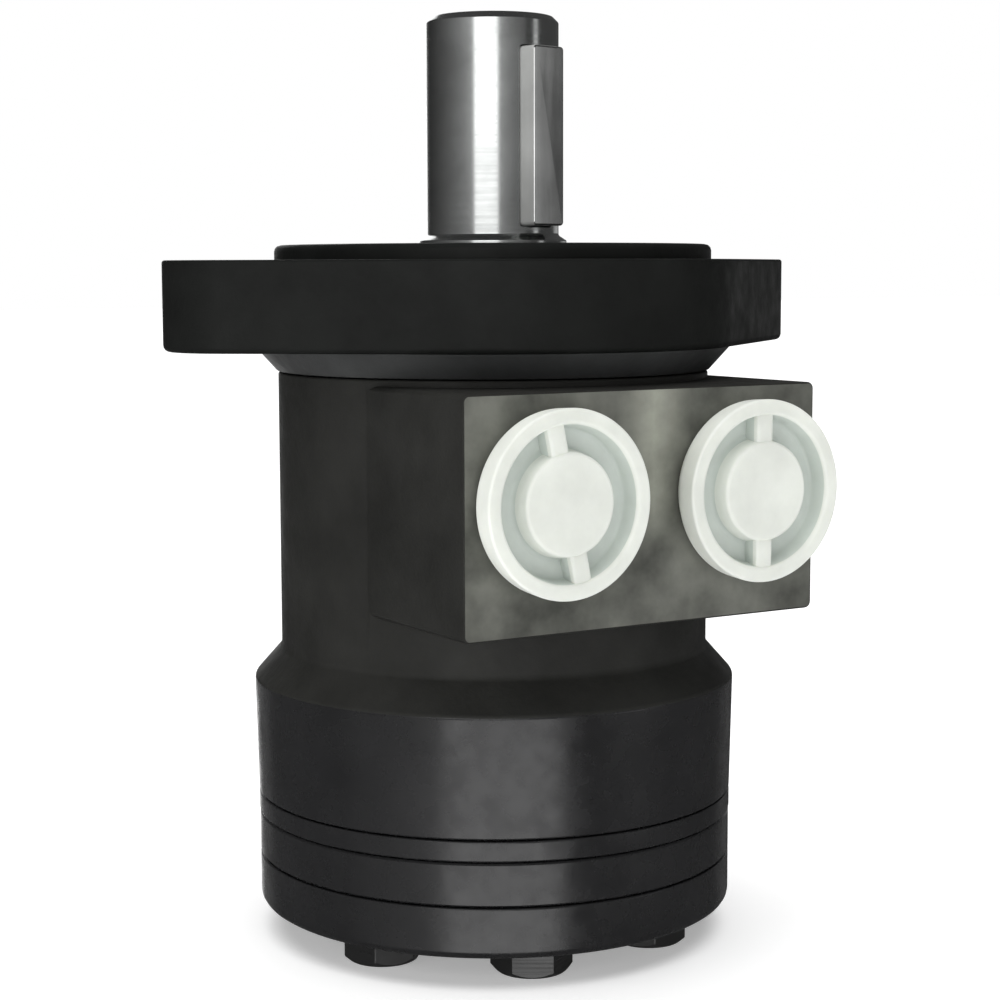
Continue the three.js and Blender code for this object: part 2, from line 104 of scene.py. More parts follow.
# bolts and gerotor
LOBES = 7
BOLT_CIRCLE_R = 32.3
BOLT_PHASE = math.radians(-109.5)
BOLT_HOLE_R = 4.3
BOLT_HEAD_AF = 13.0
BOLT_HEAD_H = 5.8
BOLT_END = 43.0
OIL_SLOT_R = 26.5
SCREW_CIRCLE_R = 33.0
SCREW_ANGLES = [math.radians(a) for a in (30, 150, 210, 330)]
SCREW_SEAT = 115.5
SCREW_END = 86.0
KEY_ANGLE = math.radians(-79.0)


# ---------------------------------------------------------------- mesh tools
def add_mesh(name, verts, faces):
    """A new object from points in millimetres."""
    mesh = bpy.data.meshes.new(name)
    mesh.from_pydata([(x * MM, y * MM, z * MM) for x, y, z in verts], [], faces)
    mesh.validate()
    piece = bpy.data.objects.new(name, mesh)
    bpy.context.scene.collection.objects.link(piece)
    return piece


def fillet(points, closed=False, steps=5):
    """A polyline of (r, z) or (r, z, radius) with its corners rounded."""
    out = []
    count = len(points)
    for i, point in enumerate(points):
        here = Vector(point[:2])
        radius = point[2] if len(point) > 2 else 0
        at_end = not closed and i in (0, count - 1)
        if radius <= 0 or at_end:
            out.append(tuple(here))
            continue
        to_last = Vector(points[i - 1][:2]) - here
        to_next = Vector(points[(i + 1) % count][:2]) - here
        half = to_last.angle(to_next) / 2
        reach = min(radius / math.tan(half), 0.49 * to_last.length, 0.49 * to_next.length)
        radius = reach * math.tan(half)
        u, v = to_last.normalized(), to_next.normalized()
        centre = here + (u + v).normalized() * (radius / math.sin(half))
        start = (here + u * reach) - centre
        sweep = math.pi - 2 * half
        turn = 1 if u.y * v.x - u.x * v.y > 0 else -1
        for k in range(steps + 1):
            angle = turn * sweep * k / steps
            c, s = math.cos(angle), math.sin(angle)
            out.append(tuple(centre + Vector((c * start.x - s * start.y, s * start.x + c * start.y))))
    return out


def lathe(name, profile, closed=False, segments=SEGMENTS):
    """Turns a (r, z) profile about Z: up the outside, and for a ring back down the inside."""
    verts, rings = [], []
    for r, z in profile:
        if r < 1e-6:
            rings.append([len(verts)])
            verts.append((0, 0, z))
            continue
        first = len(verts)
        for j in range(segments):
            a = TAU * j / segments
            verts.append((r * math.cos(a), r * math.sin(a), z))
        rings.append(list(range(first, first + segments)))
    faces = []
    pairs = list(zip(rings, rings[1:]))
    if closed:
        pairs.append((rings[-1], rings[0]))
    for low, high in pairs:
        for j in range(segments):
            k = (j + 1) % segments
            if len(low) == 1 and len(high) > 1:
                faces.append((low[0], high[k], high[j]))
            elif len(high) == 1 and len(low) > 1:
                faces.append((low[j], low[k], high[0]))
            elif len(low) > 1 and len(high) > 1:
                faces.append((low[j], low[k], high[k], high[j]))
    return add_mesh(name, verts, faces)


def loft(name, rows):
    """A closed body through rows of points of equal count, with flat end caps."""
    size = len(rows[0])
    verts = [p for row in rows for p in row]
    faces = [tuple(reversed(range(size)))]
    for i in range(len(rows) - 1):
        for j in range(size):
            k = (j + 1) % size
            a, b = i * size, (i + 1) * size
            faces.append((a + j, a + k, b + k, b + j))
    last = (len(rows) - 1) * size
    faces.append(tuple(range(last, last + size)))
    return add_mesh(name, verts, faces)


def arc(cx, cy, radius, start, stop, steps):
    return [
        (cx + radius * math.cos(start + (stop - start) * i / steps),
         cy + radius * math.sin(start + (stop - start) * i / steps))
        for i in range(steps + 1)
    ]


def rounded_rect(half_w, half_h, radius, steps=6):
    out = []
    for sx, sy, start in ((1, 1, 0), (-1, 1, 90), (-1, -1, 180), (1, -1, 270)):
        a = math.radians(start)
        out += arc(sx * (half_w - radius), sy * (half_h - radius), radius, a, a + math.pi / 2, steps)
    return out


def transformed(piece, matrix):
    """Moves the points of a piece; its object stays at the origin."""
    piece.data.transform(matrix)
    piece.data.update()
    return piece


def shift(x=0.0, y=0.0, z=0.0):
    return Matrix.Translation((x * MM, y * MM, z * MM))


def turn(axis, degrees):
    return Matrix.Rotation(math.radians(degrees), 4, axis)


def bake_modifiers(piece):
    graph = bpy.context.evaluated_depsgraph_get()
    mesh = bpy.data.meshes.new_from_object(piece.evaluated_get(graph))
    piece.modifiers.clear()
    piece.data = mesh
    return piece


def combine(piece, others, operation="DIFFERENCE"):
    """Exact boolean of a piece with each of the others, which are used up."""
    for other in others:
        mod = piece.modifiers.new("cut", "BOOLEAN")
        mod.operation = operation
        mod.solver = "EXACT"
        mod.object = other
    bpy.context.view_layer.update()
    bake_modifiers(piece)
    for other in others:
        bpy.data.objects.remove(other)
    return piece


def finish_surface(piece, angle=32, bevel=0.0, segments=2):
    """Smooth shading with crisp edges where the faces really turn."""
    piece.data.shade_smooth()
    piece.data.set_sharp_from_angle(angle=math.radians(angle))
    if bevel:
        mod = piece.modifiers.new("edge", "BEVEL")
        mod.width = bevel * MM
        mod.segments = segments
        mod.limit_method = "ANGLE"
        mod.angle_limit = math.radians(35)
        mod.harden_normals = False
        mod.use_clamp_overlap = True
    weighted = piece.modifiers.new("normals", "WEIGHTED_NORMAL")
    weighted.keep_sharp = True
    return piece


def give_materials(piece, *materials):
    piece.data.materials.clear()
    for material in materials:
        piece.data.materials.append(material)


def place(piece, body, material, replaced=()):
    """Puts a piece on its body; material None keeps the materials it has."""
    if material is not None:
        give_materials(piece, material)
    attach(piece, body)
    if replaced:
        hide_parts(*replaced)
    return piece


# ---------------------------------------------------------------- cutters
def bar(x, y, z0, z1, radius, chamfer=0.0, segments=48):
    """Round cutter along Z; a chamfer flares it at z1."""
    profile = [(0, z0), (radius, z0)]
    if chamfer:
        profile += [(radius, z1 - chamfer - 1), (radius + chamfer + 1, z1)]
    else:
        profile.append((radius, z1))
    profile.append((0, z1))
    return transformed(lathe("cutter", profile, segments=segments), shift(x, y))


def between(radius, start, stop, segments=32):
    """Round cutter between two points."""
    a, b = Vector(start), Vector(stop)
    length = (b - a).length
    piece = lathe("cutter", [(0, 0), (radius, 0), (radius, length), (0, length)], segments=segments)
    aim = (b - a).to_track_quat("Z", "Y").to_matrix().to_4x4()
    return transformed(piece, Matrix.Translation(a * MM) @ aim)


def hex_cutter(across, z0, z1):
    r = across / math.sqrt(3)
    rows = [[(r * math.cos(TAU * i / 6), r * math.sin(TAU * i / 6), z) for i in range(6)] for z in (z0, z1)]
    return loft("cutter", rows)


def lobe_angle(i):
    return BOLT_PHASE + TAU * i / LOBES


def bolt_hole_cutters(z0, z1):
    return [
        bar(BOLT_CIRCLE_R * math.cos(lobe_angle(i)), BOLT_CIRCLE_R * math.sin(lobe_angle(i)),
            z0, z1, BOLT_HOLE_R, segments=32)
        for i in range(LOBES)
    ]


# ---------------------------------------------------------------- materials
def new_material(name):
    material = bpy.data.materials.new(name)
    material.use_nodes = True
    tree = material.node_tree
    return material, tree, tree.nodes["Principled BSDF"]


def node(tree, kind, **values):
    made = tree.nodes.new(kind)
    for key, value in values.items():
        if key in made.inputs:
            made.inputs[key].default_value = value
        else:
            setattr(made, key, value)
    return made


def noise(tree, scale, detail=4.0, rough=0.55, stretch=(1, 1, 1)):
    """Noise over the object's own coordinates; scale is in features per metre."""
    coords = node(tree, "ShaderNodeTexCoord")
    mapping = node(tree, "ShaderNodeMapping")
    mapping.inputs["Scale"].default_value = stretch
    tree.links.new(coords.outputs["Object"], mapping.inputs["Vector"])
    made = node(tree, "ShaderNodeTexNoise", Scale=scale, Detail=detail, Roughness=rough)
    tree.links.new(mapping.outputs["Vector"], made.inputs["Vector"])
    return made.outputs["Fac"]


def ramp(tree, source, stops):
    made = node(tree, "ShaderNodeValToRGB")
    elements = made.color_ramp.elements
    while len(elements) < len(stops):
        elements.new(0.5)
    for element, (position, colour) in zip(elements, stops):
        element.position = position
        element.color = (*colour, 1) if len(colour) == 3 else colour
    tree.links.new(source, made.inputs["Fac"])
    return made.outputs["Color"]


def value_range(tree, source, low, high, from_low=0.3, from_high=0.7):
    made = node(tree, "ShaderNodeMapRange")
    made.inputs["From Min"].default_value = from_low
    made.inputs["From Max"].default_value = from_high
    made.inputs["To Min"].default_value = low
    made.inputs["To Max"].default_value = high
    tree.links.new(source, made.inputs["Value"])
    return made.outputs["Result"]


def bump(tree, shader, source, height, strength=1.0, chain=None):
    made = node(tree, "ShaderNodeBump", Strength=strength, Distance=height * MM)
    tree.links.new(source, made.inputs["Height"])
    if chain is not None:
        tree.links.new(chain, made.inputs["Normal"])
    tree.links.new(made.outputs["Normal"], shader.inputs["Normal"])
    return made.outputs["Normal"]


def srgb(r, g, b):
    def linear(v):
        v /= 255
        return v / 12.92 if v <= 0.04045 else ((v + 0.055) / 1.055) ** 2.4
    return (linear(r), linear(g), linear(b))


def scaled(colour, k):
    return tuple(min(1.0, c * k) for c in colour)


def painted(name, colour, rough, grain=900, grain_height=0.05, pits=0.0, spec=0.35, spread=0.25):
    """Paint over cast iron: cloudy tone, fine orange peel and the casting's grain."""
    material, tree, shader = new_material(name)
    clouds = noise(tree, 60, detail=5)
    tone = ramp(tree, clouds, [(0.3, scaled(colour, 1 - spread)), (0.72, scaled(colour, 1 + spread))])
    tree.links.new(tone, shader.inputs["Base Color"])
    tree.links.new(value_range(tree, noise(tree, 220), rough - 0.06, rough + 0.1), shader.inputs["Roughness"])
    shader.inputs["Specular IOR Level"].default_value = spec
    chain = bump(tree, shader, noise(tree, grain, detail=6, rough=0.6), grain_height)
    if pits:
        bump(tree, shader, noise(tree, 180, detail=2), pits, chain=chain)
    return material


def metal(name, colour, rough, lines=(60, 60, 3000), line_height=0.004, spread=0.12, metallic=1.0, spec=0.5):
    """Machined metal: tool marks run round the part's axis."""
    material, tree, shader = new_material(name)
    clouds = noise(tree, 90, detail=4)
    tone = ramp(tree, clouds, [(0.3, scaled(colour, 1 - spread)), (0.7, scaled(colour, 1 + spread))])
    tree.links.new(tone, shader.inputs["Base Color"])
    marks = noise(tree, 1.0, detail=3, stretch=lines)
    tree.links.new(value_range(tree, marks, 0.75 * rough, 1.3 * rough), shader.inputs["Roughness"])
    shader.inputs["Metallic"].default_value = metallic
    shader.inputs["Specular IOR Level"].default_value = spec
    bump(tree, shader, marks, line_height)
    return material


# sockets of the Mix node that carry colours
MIX_COLOUR_A = 6
MIX_COLOUR_B = 7
MIX_COLOUR_OUT = 2


def painted_highlight_patch(material, colour, x, half_width, z_low, z_high):
    """A painted highlight: a lighter, cloudy patch on a machined face, stronger upwards, placed in
    millimetres.
    """
    tree = material.node_tree
    base = tree.nodes["Principled BSDF"].inputs["Base Color"]
    tone = base.links[0].from_socket
    coords = node(tree, "ShaderNodeTexCoord")
    split = node(tree, "ShaderNodeSeparateXYZ")
    tree.links.new(coords.outputs["Object"], split.inputs["Vector"])
    offset = node(tree, "ShaderNodeMath", operation="SUBTRACT")
    offset.inputs[1].default_value = x * MM
    tree.links.new(split.outputs["X"], offset.inputs[0])
    away = node(tree, "ShaderNodeMath", operation="ABSOLUTE")
    tree.links.new(offset.outputs[0], away.inputs[0])
    across = value_range(tree, away.outputs[0], 1, 0, 0, half_width * MM)
    upward = value_range(tree, split.outputs["Z"], 0, 1, z_low * MM, z_high * MM)
    cloudy = value_range(tree, noise(tree, 150, detail=5), 0.55, 1.0)
    amount = across
    for factor in (upward, cloudy):
        product = node(tree, "ShaderNodeMath", operation="MULTIPLY")
        tree.links.new(amount, product.inputs[0])
        tree.links.new(factor, product.inputs[1])
        amount = product.outputs[0]
    blend = node(tree, "ShaderNodeMix", data_type="RGBA")
    tree.links.new(amount, blend.inputs["Factor"])
    tree.links.new(tone, blend.inputs[MIX_COLOUR_A])
    blend.inputs[MIX_COLOUR_B].default_value = (*colour, 1)
    tree.links.new(blend.outputs[MIX_COLOUR_OUT], base)


def rubber(name, colour):
    material, tree, shader = new_material(name)
    tone = ramp(tree, noise(tree, 400), [(0.3, scaled(colour, 0.8)), (0.7, scaled(colour, 1.3))])
    tree.links.new(tone, shader.inputs["Base Color"])
    shader.inputs["Roughness"].default_value = 0.62
    bump(tree, shader, noise(tree, 1500), 0.01)
    return material


def plug_plastic(name, colour):
    """Milky moulded plastic with flow marks and a matt grain."""
    material, tree, shader = new_material(name)
    tone = ramp(tree, noise(tree, 110, detail=5), [(0.3, scaled(colour, 0.9)), (0.7, scaled(colour, 1.04))])
    tree.links.new(tone, shader.inputs["Base Color"])
    shader.inputs["Subsurface Weight"].default_value = 0.35
    shader.inputs["Subsurface Radius"].default_value = (1.0, 1.0, 0.9)
    shader.inputs["Subsurface Scale"].default_value = 0.003
    tree.links.new(value_range(tree, noise(tree, 300), 0.34, 0.5), shader.inputs["Roughness"])
    chain = bump(tree, shader, noise(tree, 260, detail=3), 0.05)
    bump(tree, shader, noise(tree, 2500), 0.006, chain=chain)
    return material


FLANGE_BLACK = painted("flange_black", srgb(24, 25, 24), 0.5, spec=0.12)
# painted reflection: the hub under the mounting plate has the same black paint as the plate, made lighter
# grey for the floor's light it reflects
HUB_PAINTED_REFLECTION = painted("hub_painted_reflection", srgb(60, 61, 61), 0.45, spec=0.3)
CASTING_BLACK = painted(
    "casting_black", srgb(42, 42, 40), 0.55, grain=700, grain_height=0.09, pits=0.05, spec=0.2)
TURNED_BLACK = painted(
    "turned_black", srgb(33, 33, 34), 0.24, grain=1500, grain_height=0.008, spec=0.5, spread=0.18)
PORT_FACE = metal(
    "port_face", srgb(102, 103, 97), 0.46, lines=(900, 60, 900), metallic=0.2, spread=0.5, spec=0.3)
# painted highlight: a paler, cloudy patch on the port face between the ports, brighter towards its top
painted_highlight_patch(PORT_FACE, srgb(172, 174, 162), 1.5, 8, 72, 84)
BOLT_BLACK = metal("bolt_black", srgb(66, 66, 66), 0.36, metallic=0.7, spec=0.4)
SHAFT_STEEL = metal("shaft_steel", srgb(196, 198, 197), 0.17, lines=(50, 50, 2600), line_height=0.002)
KEY_STEEL = metal("key_steel", srgb(200, 201, 200), 0.085, lines=(400, 400, 60), line_height=0.0003)
# painted sheen: the key's sides, ends and underside get a lighter, less metallic copy of the key steel so the
# fill light shows them bright
KEY_SIDE_PAINTED_SHEEN = metal(
    "key_side_painted_sheen", srgb(186, 187, 185), 0.35, lines=(400, 400, 60), line_height=0.002, metallic=0.25)
INNER_STEEL = metal("inner_steel", srgb(160, 162, 165), 0.24)
PLUG_WHITE = plug_plastic("plug_white", srgb(228, 231, 224))
# painted shade: the recess in each plug head is the same plastic, made darker and greener for the shade
# inside it
PLUG_RECESS_PAINTED_SHADE = plug_plastic("plug_recess_painted_shade", srgb(205, 212, 206))
BACKUP_WHITE = plug_plastic("backup_white", srgb(226, 226, 220))
SEAL_RUBBER = rubber("seal_rubber", srgb(30, 30, 30))
COPPER = metal("copper", srgb(190, 118, 78), 0.3)


# ---------------------------------------------------------------- mounting flange
def plate_outline(inset):
    slope = math.acos((PLATE_R - LUG_R) / LUG_X)
    lug, centre = LUG_R - inset, PLATE_R - inset
    return (
        arc(LUG_X, 0, lug, -slope, slope, 40)
        + arc(0, 0, centre, slope, math.pi - slope, 60)
        + arc(-LUG_X, 0, lug, math.pi - slope, math.pi + slope, 40)
        + arc(0, 0, centre, math.pi + slope, TAU - slope, 60)
    )


def edge_rows(z0, z1, low, high, steps=4):
    """(z, inset) rows for a wall with rounded lower and upper edges."""
    rows = []
    for i in range(steps + 1):
        a = math.pi / 2 * i / steps
        rows.append((z0 + low * (1 - math.cos(a)), low * (1 - math.sin(a))))
    for i in range(steps + 1):
        a = math.pi / 2 * i / steps
        rows.append((z1 - high * (1 - math.sin(a)), high * (1 - math.cos(a))))
    return rows


def build_flange():
    rows = [
        [(x, y, z) for x, y in plate_outline(inset)]
        for z, inset in edge_rows(PLATE_BOTTOM, PLATE_TOP, 1.2, 0.5)
    ]
    plate = loft("flange_casting", rows)
    pilot = lathe("cutter", fillet([
        (0, PLATE_TOP - 2), (PILOT_R, PLATE_TOP - 2), (PILOT_R, PILOT_TOP, 1.2), (0, PILOT_TOP),
    ], steps=3))
    hub = lathe("cutter", fillet([
        (0, FLANGE_BOTTOM), (BODY_R + 0.2, FLANGE_BOTTOM, 0.5), (PLATE_R - 1.6, PLATE_BOTTOM - 0.1, 1.0),
        (PLATE_R - 1.6, PLATE_BOTTOM + 2), (0, PLATE_BOTTOM + 2),
    ], steps=4))
    combine(plate, [pilot, hub], "UNION")
    cutters = [
        bar(0, 0, FLANGE_BOTTOM - 1, PILOT_TOP + 1, SEAL_LAND_R + 0.6, segments=96),
        bar(0, 0, FLANGE_BOTTOM - 1, 112, 21, segments=96),
        bar(0, 0, 116.5, PILOT_TOP + 1, 19, chamfer=0.6, segments=96),
    ]
    for side in (-1, 1):
        cutters.append(bar(
            side * LUG_X, 0, PLATE_BOTTOM - 1, PLATE_TOP + 1, FLANGE_HOLE_R, chamfer=0.5, segments=72))
    for angle in SCREW_ANGLES:
        x, y = SCREW_CIRCLE_R * math.cos(angle), SCREW_CIRCLE_R * math.sin(angle)
        cutters.append(bar(x, y, FLANGE_BOTTOM - 1, PILOT_TOP - 1, 3.3))
        cutters.append(bar(x, y, SCREW_SEAT, PILOT_TOP + 1, 5.5, chamfer=0.3))
    combine(plate, cutters)
    finish_surface(plate)
    give_materials(plate, FLANGE_BLACK, HUB_PAINTED_REFLECTION)
    # the hub faces under the plate take the lighter copy of the black paint: painted reflection
    for face in plate.data.polygons:
        middle = face.center / MM
        if middle.z < PLATE_BOTTOM - 0.05 and middle.xy.length > BODY_R - 0.5:
            face.material_index = 1
    return place(plate, "motor_body", None, ["mounting_flange"])


# ---------------------------------------------------------------- housing
def port_bore_profile():
    """Threaded bore: a pilot chamfer, then thread grooves down to the plain floor."""
    depth, pitch = 16.0, 1.81
    profile = [(0, -2), (PORT_BORE_R + 3.2, -2), (PORT_BORE_R + 1.2, 0), (PORT_BORE_R, 1.2)]
    y = 1.6
    while y < depth - 3:
        profile += [(PORT_BORE_R, y), (PORT_BORE_R + 0.75, y + pitch * 0.45), (PORT_BORE_R, y + pitch * 0.9)]
        y += pitch
    profile += [(PORT_BORE_R, depth - 1), (PORT_BORE_R - 1.5, depth), (0, depth)]
    return profile


def build_housing():
    body = lathe("housing_casting", fillet([
        (0, HOUSING_BOTTOM), (REAR_FLANGE_R - REAR_FLANGE_DRAFT, HOUSING_BOTTOM, 0.4),
        (REAR_FLANGE_R, 43.4, 1.4), (BODY_R, 49.2, 2.0), (BODY_R, HOUSING_TOP, 0.4), (0, HOUSING_TOP),
    ], steps=6))
    half_h = (BOSS_TOP - BOSS_BOTTOM) / 2
    middle = (BOSS_TOP + BOSS_BOTTOM) / 2
    rows = []
    for y, inset in ((-12, 0), (BOSS_FACE_Y + 0.35, 0), (BOSS_FACE_Y + 0.1, 0.09), (BOSS_FACE_Y, 0.3)):
        outline = rounded_rect(BOSS_HALF_W - inset, half_h - inset, 1.2 - inset)
        rows.append([(x, y, middle + z) for x, z in outline])
    boss = loft("cutter", rows)
    combine(body, [boss], "UNION")
    cutters = [
        bar(0, 0, HOUSING_BOTTOM - 1, HOUSING_TOP + 1, 17.2, segments=96),
        bar(0, 0, 96, HOUSING_TOP + 1, 23, segments=96),
        bar(0, 0, 84, 90, 20.5, segments=96),
        bar(0, 0, 62, 68, 20.5, segments=96),
    ]
    cutters += bolt_hole_cutters(HOUSING_BOTTOM - 1, BOLT_END + 2)
    for angle in SCREW_ANGLES:
        x, y = SCREW_CIRCLE_R * math.cos(angle), SCREW_CIRCLE_R * math.sin(angle)
        cutters.append(bar(x, y, SCREW_END - 2, HOUSING_TOP + 1, 3.2))
    for side in (-1, 1):
        bore = lathe("cutter", port_bore_profile(), segments=72)
        transformed(bore, shift(side * PORT_X, BOSS_FACE_Y, PORT_Z) @ turn("X", -90))
        cutters.append(bore)
        start = (side * 19, BOSS_FACE_Y + 14, PORT_Z if side < 0 else PORT_Z - 3)
        cutters.append(between(3.5, start, (side * 11.5, -15.5, 87 if side < 0 else 65)))
    cutters.append(between(10, (0, 39.8, 58), (0, 50, 58), 64))
    cutters.append(between(6.6, (0, 29, 58), (0, 50, 58), 48))
    cutters.append(between(2.5, (0, 32, 57), (0, 15, 42), 24))
    combine(body, cutters)
    finish_surface(body)
    give_materials(body, CASTING_BLACK, PORT_FACE, TURNED_BLACK)
    for face in body.data.polygons:
        middle = face.center / MM
        if face.normal.y < -0.95 and middle.y < BOSS_FACE_Y + 0.5:
            face.material_index = 1
        elif middle.z < TURNED_TOP and middle.xy.length > BODY_R:
            face.material_index = 2
    return place(body, "motor_body", None, ["housing"])


# ---------------------------------------------------------------- port plugs
def build_plug(side, name, cad_node, body_name):
    h = PLUG_HEAD_H
    plug = lathe(name, fillet([
        (0, -2.5), (7.2, -2.5), (7.4, -PLUG_STEM_LENGTH, 0.2), (8.7, -PLUG_STEM_LENGTH, 0.5),
        (PLUG_STEM_R, -PLUG_STEM_LENGTH + 1.2), (PLUG_STEM_R, 0), (PLUG_BASE_R, 0, 0.4),
        (PLUG_HEAD_R - 0.3, 2.8, 2.5), (PLUG_HEAD_R, h, 0.5), (PLUG_HEAD_R - 2.6, h, 0.8),
        (PLUG_HEAD_R - 3.4, h - 3.6, 0.8), (9.2, h - 3.8, 0.8), (8.6, h - 0.1, 0.7), (0, h - 0.1),
    ], steps=4))
    ribs = []
    for half in (0, 180):
        rows = []
        for z, inset in ((h - 5, 0), (h - 1.4, 0), (h - 0.75, 0.25), (h - 0.5, 0.8)):
            outline = rounded_rect(1.9 - inset, 3.6, 0.4, steps=2)
            rows.append([(x, 11.3 + y, z) for x, y in outline])
        ribs.append(transformed(loft("cutter", rows), turn("Z", half)))
    combine(plug, ribs, "UNION")
    give_materials(plug, PLUG_WHITE, PLUG_RECESS_PAINTED_SHADE)
    # the recess floor and walls take the darker copy: painted shade
    for face in plug.data.polygons:
        middle = face.center / MM
        if 8.9 < middle.xy.length < PLUG_HEAD_R - 2.9 and h - 4.5 < middle.z < h - 1.2:
            face.material_index = 1
    lean = 12 if side < 0 else 0
    transformed(plug, shift(side * PORT_X, BOSS_FACE_Y - GAP, PORT_Z) @ turn("X", 90) @ turn("Z", lean))
    finish_surface(plug, angle=40)
    return place(plug, body_name, None, [cad_node])


# ---------------------------------------------------------------- shaft and key
def build_shaft():
    shaft = lathe("output_shaft_steel", fillet([
        (0, 47), (17, 47, 0.6), (17, 62, 0.2), (15.6, 62, 0.4), (15.6, 68, 0.4), (17, 68, 0.2),
        (17, 84, 0.2), (15.6, 84, 0.4), (15.6, 90, 0.4), (17, 90, 0.2), (17, 96, 0.4),
        (SEAL_LAND_R, 96, 0.4), (SEAL_LAND_R, 125.6, 0.3), (SHAFT_R, 126.6, 0.6),
        (SHAFT_R, SHAFT_END - 1.1, 0.5), (SHAFT_R - 1.1, SHAFT_END, 0.4), (0, SHAFT_END),
    ], steps=3))
    aim = turn("Z", math.degrees(KEY_ANGLE))
    outline = rounded_rect(4.05, 16.6, 0.8)
    rows = [[(x, y, z + 144.5) for y, z in outline] for x in (8.5, 20)]
    keyway = transformed(loft("cutter", rows), aim)
    cutters = [
        bar(0, 0, 46, 78, 12.9, segments=72),
        bar(0, 0, SHAFT_END - 14, SHAFT_END + 1, 2.5, segments=32),
        lathe("cutter", [(0, SHAFT_END - 2.6), (4.4, SHAFT_END + 1), (0, SHAFT_END + 1)], segments=48),
        keyway,
    ]
    combine(shaft, cutters)
    finish_surface(shaft)
    return place(shaft, "shaft", SHAFT_STEEL, ["output_shaft"])


def build_key():
    aim = turn("Z", math.degrees(KEY_ANGLE))
    rows = []
    for x, inset in ((8.75, 0.3), (9.0, 0.0), (15.1, 0.0), (15.3, 0.06), (15.45, 0.18), (15.5, 0.4)):
        outline = rounded_rect(3.8 - inset, 16.3 - inset, 0.7 - inset)
        rows.append([(x, y, z + 144.5) for y, z in outline])
    key = transformed(loft("shaft_key_steel", rows), aim)
    finish_surface(key)
    give_materials(key, KEY_STEEL, KEY_SIDE_PAINTED_SHEEN)
    outward = Vector((math.cos(KEY_ANGLE), math.sin(KEY_ANGLE), 0))
    # faces that don't face outward take the lighter copy: painted sheen
    for face in key.data.polygons:
        if face.normal.dot(outward) < 0.5:
            face.material_index = 1
    return place(key, "shaft", None, ["shaft_key"])


# ---------------------------------------------------------------- rear section
def build_cover():
    cover = lathe("end_cover_steel", fillet([
        (0, 0), (GEROTOR_R, 0, 1.6), (GEROTOR_R, COVER_TOP, 0.35), (0, COVER_TOP),
    ], steps=4))
    combine(cover, bolt_hole_cutters(-1, COVER_TOP + 1))
    finish_surface(cover)
    return place(cover, "motor_body", TURNED_BLACK, ["end_cover"])


def build_ring():
    """Gerotor ring: seven round lobes stand into the bore between its pockets."""
    steps = 420
    inner, outer = [], []
    for j in range(steps):
        a = TAU * j / steps
        off = (a - BOLT_PHASE + math.pi / LOBES) % (TAU / LOBES) - math.pi / LOBES
        across = BOLT_CIRCLE_R * math.sin(off)
        r = 31.5
        if abs(across) < 8:
            r = min(r, BOLT_CIRCLE_R * math.cos(off) - math.sqrt(64 - across * across))
        inner.append((r * math.cos(a), r * math.sin(a)))
        outer.append((math.cos(a), math.sin(a)))
    edge = 0.35
    rows = [
        (GEROTOR_R - edge, RING_BOTTOM), (GEROTOR_R, RING_BOTTOM + edge),
        (GEROTOR_R, RING_TOP - edge), (GEROTOR_R - edge, RING_TOP),
    ]
    verts, faces = [], []
    for r, z in rows:
        verts += [(x * r, y * r, z) for x, y in outer]
    for z in (RING_TOP, RING_BOTTOM):
        verts += [(x, y, z) for x, y in inner]
    loops = len(rows) + 2
    for i in range(loops):
        a, b = i * steps, ((i + 1) % loops) * steps
        for j in range(steps):
            k = (j + 1) % steps
            faces.append((a + j, a + k, b + k, b + j))
    ring = add_mesh("gerotor_ring_steel", verts, faces)
    combine(ring, bolt_hole_cutters(RING_BOTTOM - 1, RING_TOP + 1))
    finish_surface(ring)
    return place(ring, "motor_body", TURNED_BLACK, ["gerotor_ring"])


def build_spacer():
    spacer = lathe("spacer_plate_steel", fillet([
        (15.5, SPACER_BOTTOM), (SPACER_R, SPACER_BOTTOM, 0.35),
        (SPACER_R, SPACER_TOP, 0.35), (15.5, SPACER_TOP),
    ], closed=True, steps=3), closed=True)
    cutters = bolt_hole_cutters(SPACER_BOTTOM - 1, SPACER_TOP + 1)
    for i in range(LOBES):
        a = lobe_angle(i + 0.5)
        outline = rounded_rect(4.6, 2.6, 2.55, steps=8)
        rows = [[(OIL_SLOT_R + x, y, z) for x, y in outline] for z in (SPACER_BOTTOM - 1, SPACER_TOP + 1)]
        cutters.append(transformed(loft("cutter", rows), turn("Z", math.degrees(a))))
    combine(spacer, cutters)
    finish_surface(spacer)
    return place(spacer, "motor_body", TURNED_BLACK, ["spacer_plate"])


def build_hex_head(name, z_free, z_seat, across, twist=0.0):
    """Hexagon head: chamfered on its free side, standing on a round washer face."""
    r = across / math.sqrt(3)
    height = z_seat - z_free
    hexagon = loft(name, [
        [(r * math.cos(TAU * i / 6 + twist), r * math.sin(TAU * i / 6 + twist), z) for i in range(6)]
        for z in (z_free, z_seat - 0.35)
    ])
    crown = lathe("cutter", [
        (0, -0.01), (across / 2 - 0.25, -0.01), (r + 0.1, 1.15), (r + 0.1, height + 1), (0, height + 1),
    ], segments=96)
    transformed(crown, shift(0, 0, z_free))
    return combine(hexagon, [crown], "INTERSECT")


BOLT_TWIST = [30.0, 6.0, 18.0, 40.0, 3.0, 25.0, 50.0]


